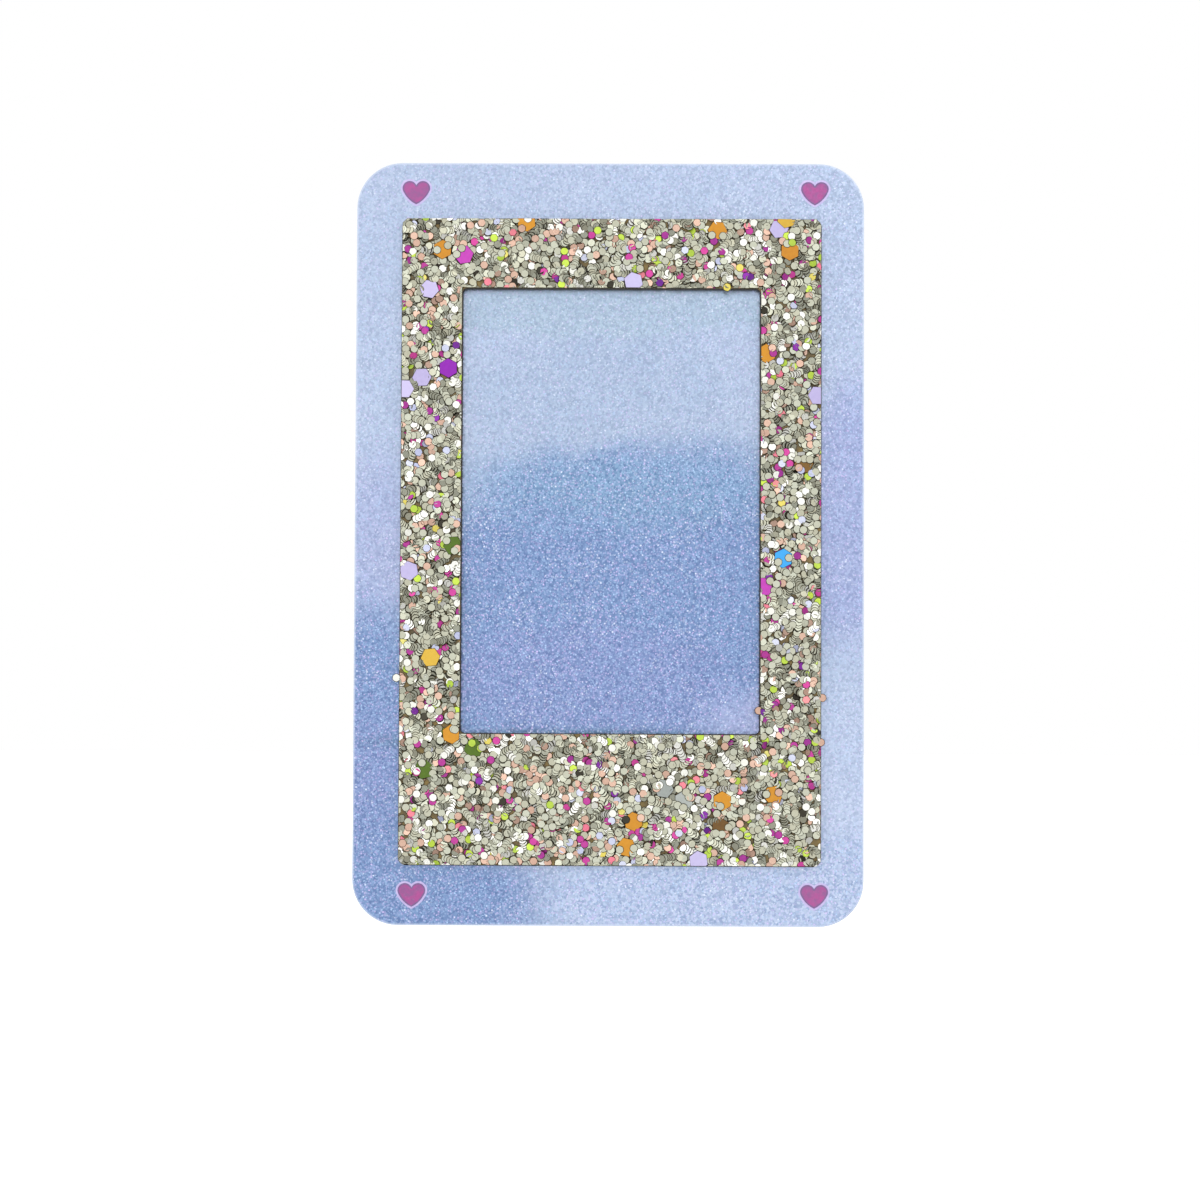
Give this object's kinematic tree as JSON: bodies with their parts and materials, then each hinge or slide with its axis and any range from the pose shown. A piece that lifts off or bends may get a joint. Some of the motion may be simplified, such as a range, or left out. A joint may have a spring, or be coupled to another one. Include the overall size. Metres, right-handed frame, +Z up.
{
  "type": "magnetic photo frame",
  "caption": "Rectangular glitter-faced magnetic ring for a small instant photo, lying on a rounded iridescent display card with a small heart near each corner.",
  "frame": {"origin": "centre of the display card's flat back face", "axes": "+Z up along the card's height, +X to the viewer's right, the face with the glitter ring looks along -Y, so +Y points out of the card's back"},
  "size_m": [0.067, 0.0024, 0.1006],
  "materials": {
    "backing_card": "uncoated white board, smooth",
    "holographic_film": "iridescent lilac-blue film with fine sparkle, glossy",
    "heart_halos": "pale lilac ink, glossy",
    "heart_rims": "dark purple ink, glossy",
    "heart_prints": "magenta ink, glossy",
    "glue_dots": "clear soft removable glue",
    "magnet_sheet": "dark brown-black flexible magnet, satin",
    "adhesive_sheet": "dark laminating adhesive",
    "fabric_backing": "woven charcoal backing cloth",
    "glitter_bed": "brown-olive clear resin that holds the flakes",
    "flakes_champagne": "metallised film, champagne grey, bright",
    "flakes_silver": "metallised film, silver, bright",
    "flakes_rose": "metallised film, rose beige, bright",
    "flakes_coral": "coral film, glossy",
    "flakes_lime": "neon lime film, glossy",
    "flakes_yellow": "yellow film, glossy",
    "flakes_magenta": "magenta film, glossy",
    "flakes_violet": "violet film, glossy",
    "flakes_lilac": "pale lilac-blue film, glossy",
    "sequins_orange": "orange film, glossy",
    "sequins_gold": "gold film, glossy",
    "sequins_lilac": "lilac film, glossy",
    "sequins_magenta": "magenta film, glossy",
    "sequins_purple": "purple film, glossy",
    "sequins_green": "moss green film, glossy",
    "sequins_brown": "brown film, glossy",
    "sequins_blue": "blue film, glossy",
    "sequins_silver": "metallised film, silver grey, satin"
  },
  "bodies": {
    "card": {"backing_card": "backing_card", "holographic_film": "holographic_film", "heart_halos": "heart_halos", "heart_rims": "heart_rims", "heart_prints": "heart_prints", "glue_dots": "glue_dots"},
    "ring": {"magnet_sheet": "magnet_sheet", "adhesive_sheet": "adhesive_sheet", "fabric_backing": "fabric_backing", "glitter_bed": "glitter_bed", "flakes_champagne": "flakes_champagne", "flakes_silver": "flakes_silver", "flakes_rose": "flakes_rose", "flakes_coral": "flakes_coral", "flakes_lime": "flakes_lime", "flakes_yellow": "flakes_yellow", "flakes_magenta": "flakes_magenta", "flakes_violet": "flakes_violet", "flakes_lilac": "flakes_lilac", "sequins_orange": "sequins_orange", "sequins_gold": "sequins_gold", "sequins_lilac": "sequins_lilac", "sequins_magenta": "sequins_magenta", "sequins_purple": "sequins_purple", "sequins_green": "sequins_green", "sequins_brown": "sequins_brown", "sequins_blue": "sequins_blue", "sequins_silver": "sequins_silver"}
  },
  "joints": [
    {"name": "ring_lift", "type": "slide", "parent": "card", "child": "ring", "axis": [0, -1, 0], "range_m": [0, 0.03]}
  ]
}
